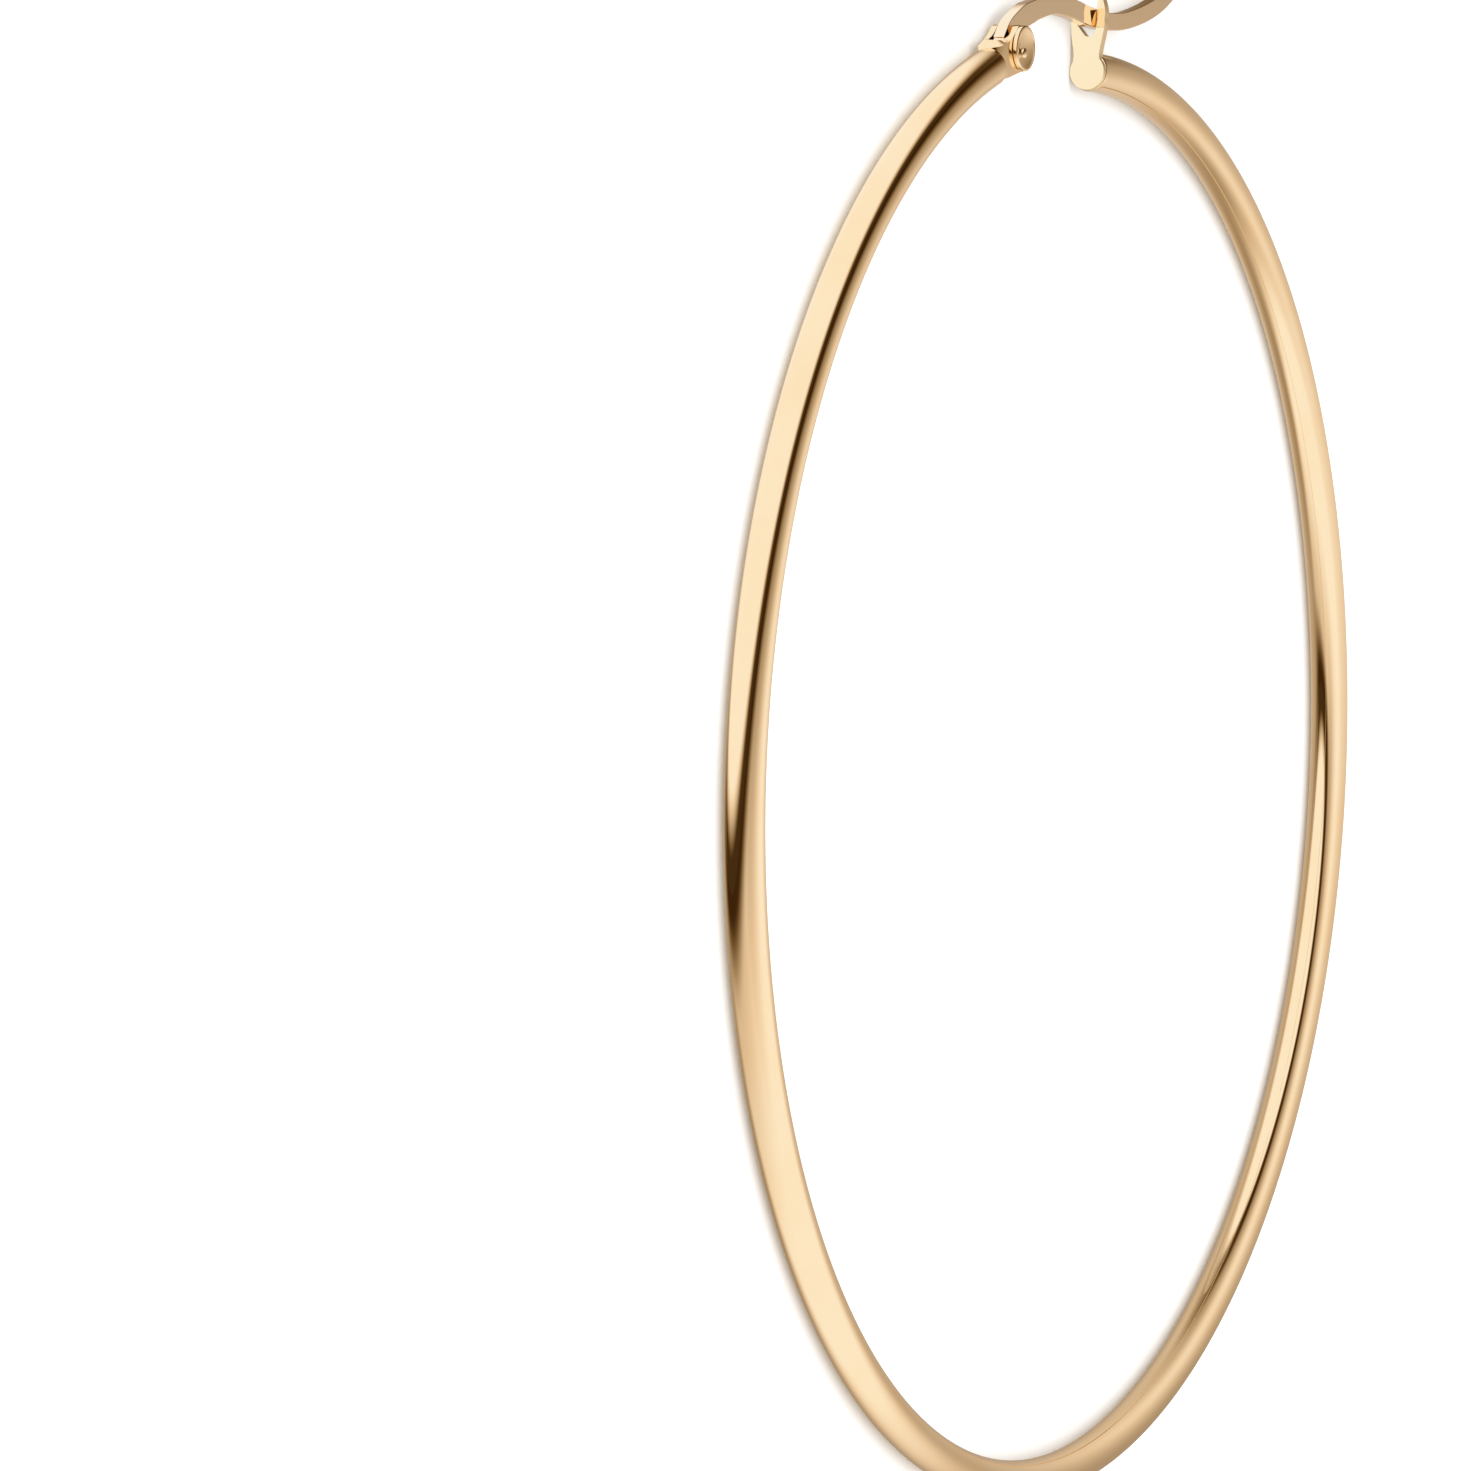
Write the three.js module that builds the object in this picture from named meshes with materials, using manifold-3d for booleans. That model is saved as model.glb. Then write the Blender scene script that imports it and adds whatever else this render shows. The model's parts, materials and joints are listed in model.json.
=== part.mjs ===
// A hinged tube hoop earring, lying flat on its side.
// Millimetres and degrees, +Z up. +Y points from the middle of the hoop to the middle of the ear gap.
// The origin is the middle of the bounding box, at its base.
import * as THREE from "three";
import { mergeVertices } from "three/addons/utils/BufferGeometryUtils.js";
import Module from "manifold-3d";

// The hoop's tube. Its two ends spring a little off the true circle.
const hoopDiameter = 75; // over the tube
const tubeDiameter = 2;
const hingeEndRise = 0.4; // the hinge end stands outside the circle
const catchEndDrop = 0.85; // the catch end stands inside it
const endSpringLength = 36; // how far along the tube each end leaves the circle
const solderLap = 0.22; // how far the tube runs into what is soldered to it

// The latch bar, a flat strip that stands on edge.
const latchSpan = 9.7; // from the hinge pin to the front of the catch plate
const tailLength = 10.6; // from the front of the catch plate to the bar's tip
const archHeight = 1.95; // the bar's middle line at the top of its arch, above the pin
const barThickness = 0.6;
const barDepth = 0.95;
const eyeDiameter = 2.4;
const eyeOffset = 0.1; // the eye's middle above the pin

// The hinge, a strip bent round in a U, with two round ears.
const pinOutset = 0.82; // the pin's axis outside the middle line of the circle
const stripThickness = 0.32;
const hingeReach = 2.6; // from the pin to the back of the U
const earDiameter = 2.36;
const shoulderAngle = 100; // degrees round the ear from +X to where its rim meets the web
const webTop = 0.62; // the top of the U's back, above the pin
const webBottom = 1.15; // and its bottom, below the pin
const sideClearance = 0.13; // on each side of the bar between the ears

// The hinge pin, a rivet with a wide cupped head above and a small domed foot below.
const pinDiameter = 0.66;
const pinClearance = 0.05; // round the pin, and between its ends and the ears
const headDiameter = 2.3;
const headThickness = 0.22;
const cupDiameter = 1.56; // the round hollow in the head
const cupDepth = 0.12;
const nubDiameter = 0.62; // the nub in the middle of the cup
const nubRise = 0.11;
const footDiameter = 1.0;
const footRise = 0.17;

// The catch plate: a round lobe on the tube's end, a waist and a fork with one tall prong.
const plateThickness = 0.5;
const lobeInset = 0.06; // the lobe's edge inside the tube's
const shortWaist = 0.78; // half widths of the waist, on the side of each prong
const tallWaist = 0.64;
const shortSpread = 1.0; // the prongs' outer edges, out from the bar's middle
const tallSpread = 0.87;
const forkClearance = 0.08; // on each side of the bar in the fork
const notchDepth = 0.5; // the fork's bottom under the bar
const tallProng = 0.9; // the tall prong's tip above the bar
const shortProng = 0.56; // the short prong's tip below the bar's top edge
const prongTipWidth = 0.18;

// How finely round shapes are divided.
const tubeSides = 16;
const tubeSteps = 116;
const roundSides = 24;
const barSteps = 36;

const gold = { color: 0xd9b382, roughness: 0.12, metalness: 1 };

// The arch's middle line: run as a share of latchSpan, rise of archHeight, depth of barDepth.
const archRows = [
  { run: -0.05, rise: 0.05, depth: 1.8 },
  { run: 0.01, rise: 0.39, depth: 1.6 },
  { run: 0.09, rise: 0.65, depth: 1.27 },
  { run: 0.18, rise: 0.8, depth: 1.24 },
  { run: 0.27, rise: 0.88, depth: 1.18 },
  { run: 0.35, rise: 0.94, depth: 1.1 },
  { run: 0.53, rise: 1.0, depth: 1.05 },
  { run: 0.72, rise: 0.89, depth: 1.05 },
  { run: 0.87, rise: 0.73, depth: 1.05 },
  { run: 1.0, rise: 0.57, depth: 1.02 },
];
// The tail's middle line: run as a share of tailLength, past the catch plate.
const tailRows = [
  { run: 0.19, rise: 0.4, depth: 0.95 },
  { run: 0.37, rise: 0.34, depth: 0.93 },
  { run: 0.55, rise: 0.4, depth: 0.95 },
  { run: 0.72, rise: 0.53, depth: 0.96 },
  { run: 0.87, rise: 0.72, depth: 0.94 },
  { run: 1.0, rise: 0.98, depth: 0.9 },
];

const circleRadius = (hoopDiameter - tubeDiameter) / 2;
const tubeRadius = tubeDiameter / 2;
const pinCircle = circleRadius + pinOutset;
const catchCircle = circleRadius - catchEndDrop;
const hingeAngle = Math.asin(latchSpan / 2 / pinCircle);
const catchAngle = Math.asin(latchSpan / 2 / catchCircle);
const slotWidth = barThickness + 2 * sideClearance;
const hingeWidth = slotWidth + 2 * stripThickness;

const wasm = await Module();
wasm.setup();

// A closed geometry as a solid that can be joined and cut.
function solidOf(geometry) {
  const bare = geometry.clone();
  bare.deleteAttribute("normal");
  bare.deleteAttribute("uv");
  const merged = mergeVertices(bare, 1e-4);
  const mesh = new wasm.Mesh({
    numProp: 3,
    vertProperties: merged.attributes.position.array,
    triVerts: new Uint32Array(merged.index.array),
  });
  return new wasm.Manifold(mesh);
}

// A solid's surface as a geometry again.
function geometryOf(solid) {
  const mesh = solid.getMesh();
  const geometry = new THREE.BufferGeometry();
  geometry.setAttribute("position", new THREE.BufferAttribute(mesh.vertProperties, 3));
  geometry.setIndex(new THREE.BufferAttribute(mesh.triVerts, 1));
  geometry.computeVertexNormals();
  return geometry;
}

function namedMesh(name, solid) {
  const mesh = new THREE.Mesh(geometryOf(solid), new THREE.MeshStandardMaterial(gold));
  mesh.name = name;
  return mesh;
}

// A flat outline with straight sides pulled up to a height, its middle on the plane of the hoop.
function plateOf(shape, height, curveSegments = roundSides) {
  const options = { depth: height, bevelEnabled: false, curveSegments };
  return new THREE.ExtrudeGeometry(shape, options).translate(0, 0, -height / 2);
}

// An upright cylinder with its middle on the plane of the hoop.
function upright(diameter, height, z = 0) {
  const cylinder = new THREE.CylinderGeometry(diameter / 2, diameter / 2, height, roundSides);
  return cylinder.rotateX(Math.PI / 2).translate(0, 0, z);
}

// A point of the hoop's plane, by its angle from +Y towards +X and its distance from the middle.
function onCircle(angle, radius) {
  return new THREE.Vector3(radius * Math.sin(angle), radius * Math.cos(angle), 0);
}

// Puts a shape made at the hinge pin, with +X along the tube towards the gap, in its place.
function atHinge(geometry) {
  const pin = onCircle(-hingeAngle, pinCircle);
  return geometry.rotateZ(hingeAngle).translate(pin.x, pin.y, 0);
}

// Puts a shape made at the middle of the catch plate's front, with +X into the tube, in its place.
function atCatch(geometry) {
  const front = onCircle(catchAngle, catchCircle);
  return geometry.rotateZ(-catchAngle).translate(front.x, front.y, 0);
}

// The tube's middle line, from the catch plate round to the hinge.
class HoopPath extends THREE.Curve {
  constructor() {
    super();
    this.catchEnd = catchAngle + (plateThickness - solderLap) / circleRadius;
    this.hingeEnd = 2 * Math.PI - hingeAngle - (hingeReach - solderLap) / circleRadius;
  }

  // How much of an end's spring is left at a distance along the tube from it.
  springShare(distance) {
    const left = Math.max(0, 1 - distance / endSpringLength);
    return left * left;
  }

  getPoint(share, target = new THREE.Vector3()) {
    const angle = THREE.MathUtils.lerp(this.catchEnd, this.hingeEnd, share);
    const fromCatch = (angle - this.catchEnd) * circleRadius;
    const fromHinge = (this.hingeEnd - angle) * circleRadius;
    const rise = hingeEndRise * this.springShare(fromHinge);
    const drop = catchEndDrop * this.springShare(fromCatch);
    return target.copy(onCircle(angle, circleRadius + rise - drop));
  }
}

// The tube, with one flat of its section facing down.
function tube() {
  const section = new THREE.Shape();
  const corner = tubeRadius / Math.cos(Math.PI / tubeSides);
  for (let i = 0; i < tubeSides; i++) {
    const angle = ((i + 0.5) / tubeSides) * 2 * Math.PI;
    const x = corner * Math.cos(angle);
    const y = corner * Math.sin(angle);
    if (i === 0) section.moveTo(x, y);
    else section.lineTo(x, y);
  }
  const options = { steps: tubeSteps, extrudePath: new HoopPath(), bevelEnabled: false };
  return solidOf(new THREE.ExtrudeGeometry(section, options));
}

// The hinge from the side: the U's straight back, blending into a round ear about the pin.
function earOutline() {
  const radius = earDiameter / 2;
  const bottomAngle = -Math.PI + Math.asin(webBottom / radius);
  const topAngle = THREE.MathUtils.degToRad(shoulderAngle);
  const rampStart = -0.72 * hingeReach;
  const shape = new THREE.Shape();
  shape.moveTo(-hingeReach, webTop);
  shape.lineTo(-hingeReach, -webBottom);
  shape.absarc(0, 0, radius, bottomAngle, topAngle, false);
  shape.quadraticCurveTo(rampStart / 2, webTop, rampStart, webTop);
  return shape;
}

// The U seen from outside the hoop: straight arms and a round back, drawn a given width wide.
function bentStrip(width, back) {
  const radius = width / 2;
  const shape = new THREE.Shape();
  shape.moveTo(earDiameter, -radius);
  shape.lineTo(earDiameter, radius);
  shape.lineTo(-back + radius, radius);
  shape.absarc(-back + radius, 0, radius, Math.PI / 2, 1.5 * Math.PI, false);
  return plateOf(shape, 3 * earDiameter).rotateX(Math.PI / 2);
}

// The hinge box: the bent strip with its slot and pin hole.
function hingeBox() {
  const side = solidOf(atHinge(plateOf(earOutline(), hingeWidth * 1.5)));
  const outer = solidOf(atHinge(bentStrip(hingeWidth, hingeReach)));
  const slot = solidOf(atHinge(bentStrip(slotWidth, hingeReach - stripThickness)));
  const pinHole = solidOf(atHinge(upright(pinDiameter + 2 * pinClearance, 2 * hingeWidth)));
  return side.intersect(outer).subtract(slot).subtract(pinHole);
}

// The bar's middle line from the pin to its tip, with its depth as the third value.
function barLine() {
  const arch = archRows.map(({ run, rise, depth }) => [run * latchSpan, rise, depth]);
  const tail = tailRows.map(({ run, rise, depth }) => [latchSpan + run * tailLength, rise, depth]);
  const points = [...arch, ...tail].map(
    ([x, rise, depth]) => new THREE.Vector3(x, rise * archHeight, depth * barDepth),
  );
  return new THREE.CatmullRomCurve3(points, false, "catmullrom", 0.5);
}

// The bar's middle point and depth where it crosses a distance along +X from the pin.
function barAt(x) {
  const samples = barLine().getPoints(400);
  return samples.reduce((best, p) => (Math.abs(p.x - x) < Math.abs(best.x - x) ? p : best));
}

// The bar from the side, with a round tip.
function barOutline() {
  const line = barLine();
  const upper = [];
  const lower = [];
  for (let i = 0; i <= barSteps; i++) {
    const middle = line.getPoint(i / barSteps);
    const along = line.getTangent(i / barSteps).setZ(0).normalize();
    const out = new THREE.Vector2(-along.y, along.x).multiplyScalar(middle.z / 2);
    upper.push(new THREE.Vector2(middle.x + out.x, middle.y + out.y));
    lower.push(new THREE.Vector2(middle.x - out.x, middle.y - out.y));
  }
  const tip = line.getPoint(1);
  const heading = line.getTangent(1);
  const turn = Math.atan2(heading.y, heading.x);
  const radius = tip.z / 2;
  const quarter = Math.PI / 2;
  const round = new THREE.EllipseCurve(tip.x, tip.y, radius, radius, turn - quarter, turn + quarter);
  const end = round.getPoints(roundSides / 2).slice(1, -1);
  return new THREE.Shape([...lower, ...end, ...upper.reverse()]);
}

// The latch bar with its eye and pin hole.
function latchBar() {
  const pin = onCircle(-hingeAngle, pinCircle);
  const strip = solidOf(plateOf(barOutline(), barThickness));
  const eye = solidOf(upright(eyeDiameter, barThickness).translate(0, eyeOffset, 0));
  const hole = solidOf(upright(pinDiameter + 2 * pinClearance, 2 * barThickness));
  return strip.add(eye).subtract(hole).translate([pin.x, pin.y, 0]);
}

// A quarter of an ellipse from the rim of a dome in to its top on the axis.
function dome(radius, base, rise) {
  const points = new THREE.EllipseCurve(0, base, radius, rise, 0, Math.PI / 2).getPoints(4);
  points[points.length - 1].x = 0;
  return points;
}

// The rivet, turned about its axis from the foot up to the nub in the head's cup.
function hingePin() {
  const seat = hingeWidth / 2 + pinClearance;
  const top = seat + headThickness;
  const floor = top - cupDepth;
  const foot = dome(footDiameter / 2, -seat, -footRise).reverse();
  const profile = [
    ...foot,
    new THREE.Vector2(pinDiameter / 2, -seat),
    new THREE.Vector2(pinDiameter / 2, seat),
    new THREE.Vector2(headDiameter / 2, seat),
    new THREE.Vector2(headDiameter / 2, top),
    new THREE.Vector2(cupDiameter / 2, top),
    new THREE.Vector2(cupDiameter / 2 - cupDepth, floor),
    ...dome(nubDiameter / 2, floor, nubRise),
  ];
  const turned = new THREE.LatheGeometry(profile, roundSides);
  return solidOf(atHinge(turned.rotateX(Math.PI / 2)));
}

// Where the bar crosses the catch plate: its middle above the lobe's middle, and its upright depth.
function barInFork() {
  const pin = onCircle(-hingeAngle, pinCircle);
  const front = onCircle(catchAngle, catchCircle);
  const reach = front.x + plateThickness / 2 - pin.x;
  const crossing = barAt(reach);
  const x = pin.x + crossing.x - front.x;
  const y = pin.y + crossing.y - front.y;
  return { height: x * Math.sin(catchAngle) + y * Math.cos(catchAngle), depth: crossing.z };
}

// The catch plate seen from the gap. Its x runs down, so the tall prong is on the side of -x.
function plateOutline() {
  const lobe = tubeRadius - lobeInset;
  const bar = barInFork();
  const barHalf = barThickness / 2 + forkClearance;
  const barTop = bar.height + bar.depth / 2;
  const notchFloor = barTop - bar.depth - notchDepth;
  const shortTip = barTop - shortProng;
  const tallTip = barTop + tallProng;
  const tallMiddle = -(barHalf + tallSpread) / 2;
  const waist = notchFloor / 2;
  const [lobeStart, lobeEnd] = [150, 390].map(THREE.MathUtils.degToRad);
  const shape = new THREE.Shape();
  shape.absarc(0, 0, lobe, lobeStart, lobeEnd, false);
  shape.splineThru([
    new THREE.Vector2(shortWaist, waist),
    new THREE.Vector2(THREE.MathUtils.lerp(shortWaist, shortSpread, 0.7), notchFloor),
    new THREE.Vector2(shortSpread, shortTip - prongTipWidth),
  ]);
  shape.quadraticCurveTo(shortSpread, shortTip, shortSpread - prongTipWidth, shortTip - prongTipWidth / 2);
  shape.lineTo(barHalf / 2, notchFloor + forkClearance);
  shape.quadraticCurveTo(0, notchFloor, -barHalf / 2, notchFloor);
  shape.quadraticCurveTo(-barHalf, notchFloor, -barHalf, notchFloor + notchDepth);
  shape.lineTo(-barHalf, barTop);
  shape.quadraticCurveTo(-barHalf, tallTip - prongTipWidth, tallMiddle, tallTip);
  shape.splineThru([
    new THREE.Vector2(-tallSpread, barTop),
    new THREE.Vector2(-tallSpread, bar.height),
    new THREE.Vector2(-tallSpread, notchFloor + notchDepth),
    new THREE.Vector2(-tallWaist, waist),
    new THREE.Vector2(lobe * Math.cos(lobeStart), lobe * Math.sin(lobeStart)),
  ]);
  return shape;
}

function catchPlate() {
  const options = { depth: plateThickness, bevelEnabled: false, curveSegments: roundSides / 2 };
  const plate = new THREE.ExtrudeGeometry(plateOutline(), options).rotateY(Math.PI / 2);
  return solidOf(atCatch(plate));
}

// Tube, hinge box and catch plate, soldered into one.
function hoop() {
  return tube().add(hingeBox()).add(catchPlate());
}

const earring = new THREE.Group();
earring.add(namedMesh("hoop", hoop()));
earring.add(namedMesh("hinge_pin", hingePin()));
earring.add(namedMesh("latch_bar", latchBar()));

// The hoop's middle is moved so that the bounding box stands on the origin.
const box = new THREE.Box3().setFromObject(earring);
const middle = box.getCenter(new THREE.Vector3());
earring.children.forEach((mesh) => mesh.position.set(-middle.x, -middle.y, -box.min.z));

export default earring;
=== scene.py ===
"""A hinged tube hoop earring of polished yellow gold, lying on its side on a pale floor.

Meshes are shaped in millimetres, in the hoop's own frame: +Z up through the hoop, +Y from its middle to
the middle of the ear gap, +X from the hinge to the catch. They are put in place in metres at the end.
"""

import json
import logging
import math
from dataclasses import dataclass, field
from enum import Enum
from typing import Any, Iterable, Sequence, Union

import bmesh
import bpy
from mathutils import Matrix, Vector


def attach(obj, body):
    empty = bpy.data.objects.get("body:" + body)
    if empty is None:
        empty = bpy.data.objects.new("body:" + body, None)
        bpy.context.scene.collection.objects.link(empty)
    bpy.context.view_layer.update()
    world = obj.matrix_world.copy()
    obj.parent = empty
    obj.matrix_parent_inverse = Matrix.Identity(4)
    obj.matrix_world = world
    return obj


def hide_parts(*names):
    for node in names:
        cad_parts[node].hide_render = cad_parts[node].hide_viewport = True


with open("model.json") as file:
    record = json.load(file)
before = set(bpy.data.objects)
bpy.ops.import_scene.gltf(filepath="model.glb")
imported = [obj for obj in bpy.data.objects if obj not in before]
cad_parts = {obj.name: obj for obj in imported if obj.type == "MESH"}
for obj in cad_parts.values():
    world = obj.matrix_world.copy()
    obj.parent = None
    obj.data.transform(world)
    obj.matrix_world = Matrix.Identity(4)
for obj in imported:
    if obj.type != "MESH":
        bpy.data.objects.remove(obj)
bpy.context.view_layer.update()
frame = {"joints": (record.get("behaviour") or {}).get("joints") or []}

log = logging.getLogger("hoop earring")

MM = 0.001
PICTURE_WIDTH = 1470
# In millimetres or degrees: what counts as one point, as one flat face and as a sharp edge.
SAME_PLACE = 1e-5
SAME_PLANE = 0.05
SHARP_ANGLE = 40.0
FLAT_FACE_WEIGHT = 100


# Shared sizes and places


@dataclass(frozen=True)
class HoopSizes:
    """The sizes in millimetres that several pieces share."""

    hoop_diameter: float = 75.0
    tube_diameter: float = 2.0
    hinge_end_rise: float = 0.4
    catch_end_drop: float = 0.85
    end_spring_length: float = 36.0
    latch_span: float = 9.7
    pin_outset: float = 0.82
    hinge_reach: float = 2.6
    solder_lap: float = 0.22
    plate_thickness: float = 0.5
    bar_thickness: float = 0.6
    side_clearance: float = 0.13
    strip_thickness: float = 0.32

    @property
    def tube_radius(self) -> float:
        """Half the tube's diameter."""
        return self.tube_diameter / 2

    @property
    def circle_radius(self) -> float:
        """Radius of the tube's middle line."""
        return (self.hoop_diameter - self.tube_diameter) / 2

    @property
    def pin_circle(self) -> float:
        """The pin's distance from the hoop's middle."""
        return self.circle_radius + self.pin_outset

    @property
    def catch_circle(self) -> float:
        """The catch plate's distance from the hoop's middle."""
        return self.circle_radius - self.catch_end_drop

    @property
    def hinge_angle(self) -> float:
        """The pin's angle from +Y, away from the catch."""
        return math.asin(self.latch_span / 2 / self.pin_circle)

    @property
    def catch_angle(self) -> float:
        """The catch plate's angle from +Y, away from the hinge."""
        return math.asin(self.latch_span / 2 / self.catch_circle)

    @property
    def hinge_width(self) -> float:
        """The hinge box's width over both ears."""
        return self.bar_thickness + 2 * self.side_clearance + 2 * self.strip_thickness

    def on_circle(self, angle: float, radius: float) -> Vector:
        """A point of the hoop's plane.

        Args:
            angle: angle from +Y towards +X, in radians.
            radius: distance from the hoop's middle.

        Returns:
            The point, in millimetres.
        """
        return Vector((radius * math.sin(angle), radius * math.cos(angle), 0.0))


SIZES = HoopSizes()


class Seat(Enum):
    """Where a piece's own coordinates start."""

    HOOP = "middle of the hoop"
    PIN = "hinge pin, square to the hoop's frame"
    HINGE = "hinge pin, with +X along the tube towards the gap"
    CATCH = "middle of the catch plate's front, with +X into the tube"


def seat_matrix(seat: Seat) -> Matrix:
    """The transform from a seat's coordinates in millimetres to the part's frame in metres.

    Args:
        seat: where the coordinates start.

    Returns:
        The transform.
    """
    pin = SIZES.on_circle(-SIZES.hinge_angle, SIZES.pin_circle)
    front = SIZES.on_circle(SIZES.catch_angle, SIZES.catch_circle)
    middle = Vector(frame["joints"][0]["pos_m"]) - pin * MM
    inner = {
        Seat.HOOP: Matrix.Identity(4),
        Seat.PIN: Matrix.Translation(pin),
        Seat.HINGE: Matrix.Translation(pin) @ Matrix.Rotation(SIZES.hinge_angle, 4, "Z"),
        Seat.CATCH: Matrix.Translation(front) @ Matrix.Rotation(-SIZES.catch_angle, 4, "Z"),
    }[seat]
    return Matrix.Translation(middle) @ Matrix.Scale(MM, 4) @ inner


# Curves in a plane


def catmull_rom(points: Sequence[Vector], share: float) -> Vector:
    """A point of the smooth curve through some points, which runs straight out at its ends.

    Args:
        points: the points that the curve passes through.
        share: 0 at the first point to 1 at the last.

    Returns:
        The point of the curve.
    """
    place = share * (len(points) - 1)
    i = min(int(place), len(points) - 2)
    t = place - i
    p1, p2 = points[i], points[i + 1]
    p0 = points[i - 1] if i > 0 else 2 * p1 - p2
    p3 = points[i + 2] if i + 2 < len(points) else 2 * p2 - p1
    m1, m2 = (p2 - p0) / 2, (p3 - p1) / 2
    t2, t3 = t * t, t * t * t
    return (2 * t3 - 3 * t2 + 1) * p1 + (t3 - 2 * t2 + t) * m1 + (3 * t2 - 2 * t3) * p2 + (t3 - t2) * m2


def arc(middle: Vector, radius: float, start: float, end: float, steps: int) -> list[Vector]:
    """Points of a round arc.

    Args:
        middle: the arc's middle.
        radius: its radius.
        start: angle of its first point, in degrees from +X.
        end: angle of its last point.
        steps: how many parts it has.

    Returns:
        The points, both ends among them.
    """
    angles = [math.radians(start + (end - start) * i / steps) for i in range(steps + 1)]
    return [middle + radius * Vector((math.cos(a), math.sin(a))) for a in angles]


def quadratic(start: Vector, control: Vector, end: Vector, steps: int) -> list[Vector]:
    """Points of a quadratic curve, without its first one.

    Args:
        start: where the curve starts.
        control: the point that it is pulled towards.
        end: where it ends.
        steps: how many parts it has.

    Returns:
        The points after the start.
    """
    shares = [i / steps for i in range(1, steps + 1)]
    return [(1 - t) ** 2 * start + 2 * t * (1 - t) * control + t * t * end for t in shares]


# Shader nodes


Value = Union[float, "Shade"]


class Shade:
    """A value socket that takes part in Python sums, each of which adds a Math node."""

    def __init__(self, tree: bpy.types.NodeTree, socket: bpy.types.NodeSocket) -> None:
        """Wraps one output socket of a node tree."""
        self.tree = tree
        self.socket = socket

    def math(self, operation: str, *others: Value, clamp: bool = False) -> "Shade":
        """Adds a Math node with this value first.

        Args:
            operation: the node's operation.
            others: its other inputs.
            clamp: whether the result is held between 0 and 1.

        Returns:
            The node's result.
        """
        node = self.tree.nodes.new("ShaderNodeMath")
        node.operation = operation
        node.use_clamp = clamp
        for slot, value in zip(node.inputs, (self, *others)):
            if isinstance(value, Shade):
                self.tree.links.new(value.socket, slot)
            else:
                slot.default_value = value
        return Shade(self.tree, node.outputs[0])

    def _flipped(self, operation: str, other: float) -> "Shade":
        """Adds a Math node with a plain number first and this value second.

        Args:
            operation: the node's operation.
            other: the number.

        Returns:
            The node's result.
        """
        node = self.tree.nodes.new("ShaderNodeMath")
        node.operation = operation
        node.inputs[0].default_value = other
        self.tree.links.new(self.socket, node.inputs[1])
        return Shade(self.tree, node.outputs[0])

    def __add__(self, other: Value) -> "Shade":
        """This value plus another."""
        return self.math("ADD", other)

    def __radd__(self, other: float) -> "Shade":
        """A number plus this value."""
        return self.math("ADD", other)

    def __sub__(self, other: Value) -> "Shade":
        """This value less another."""
        return self.math("SUBTRACT", other)

    def __rsub__(self, other: float) -> "Shade":
        """A number less this value."""
        return self._flipped("SUBTRACT", other)

    def __mul__(self, other: Value) -> "Shade":
        """This value times another."""
        return self.math("MULTIPLY", other)

    def __rmul__(self, other: float) -> "Shade":
        """A number times this value."""
        return self.math("MULTIPLY", other)

    def step(self, low: float, high: float) -> "Shade":
        """Rises smoothly from 0 at one value to 1 at another.

        Args:
            low: the value that gives 0.
            high: the value that gives 1.

        Returns:
            The smooth step.
        """
        share = ((self - low) * (1 / (high - low))).math("ADD", 0.0, clamp=True)
        return share * share * (3 - 2 * share)


class Nodes:
    """Makes the nodes of one tree."""

    def __init__(self, tree: bpy.types.NodeTree) -> None:
        """Empties the tree."""
        self.tree = tree
        tree.nodes.clear()

    def add(self, kind: str, settings: dict[str, Any], **inputs: Any) -> bpy.types.Node:
        """Adds a node, with its settings first and then its inputs.

        Args:
            kind: the node's type.
            settings: its properties, with stops for a colour ramp.
            inputs: values, Shades or sockets, by the input's name with _ for a space.

        Returns:
            The node.
        """
        node = self.tree.nodes.new(kind)
        for name, value in settings.items():
            if name == "stops":
                ramp = node.color_ramp
                while len(ramp.elements) > 1:
                    ramp.elements.remove(ramp.elements[0])
                ramp.elements[0].position, ramp.elements[0].color = value[0]
                for place, colour in value[1:]:
                    ramp.elements.new(place).color = colour
            else:
                setattr(node, name, value)
        for name, value in inputs.items():
            slot = self.input(node, name)
            source = value.socket if isinstance(value, Shade) else value
            if isinstance(source, bpy.types.NodeSocket):
                self.tree.links.new(source, slot)
            else:
                slot.default_value = source
        return node

    def input(self, node: bpy.types.Node, name: str) -> bpy.types.NodeSocket:
        """The enabled input of a node by its name, or by its number after an i.

        Args:
            node: the node.
            name: the input's name with _ for a space, or i0, i1 and so on.

        Returns:
            The socket.
        """
        if name[0] == "i" and name[1:].isdigit():
            return node.inputs[int(name[1:])]
        wanted = name.replace("_", " ")
        return next(s for s in node.inputs if s.name == wanted and s.enabled)

    def shade(self, node: bpy.types.Node, output: Union[int, str] = 0) -> Shade:
        """A node's output as a value for sums."""
        return Shade(self.tree, node.outputs[output])


# Finishes


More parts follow.
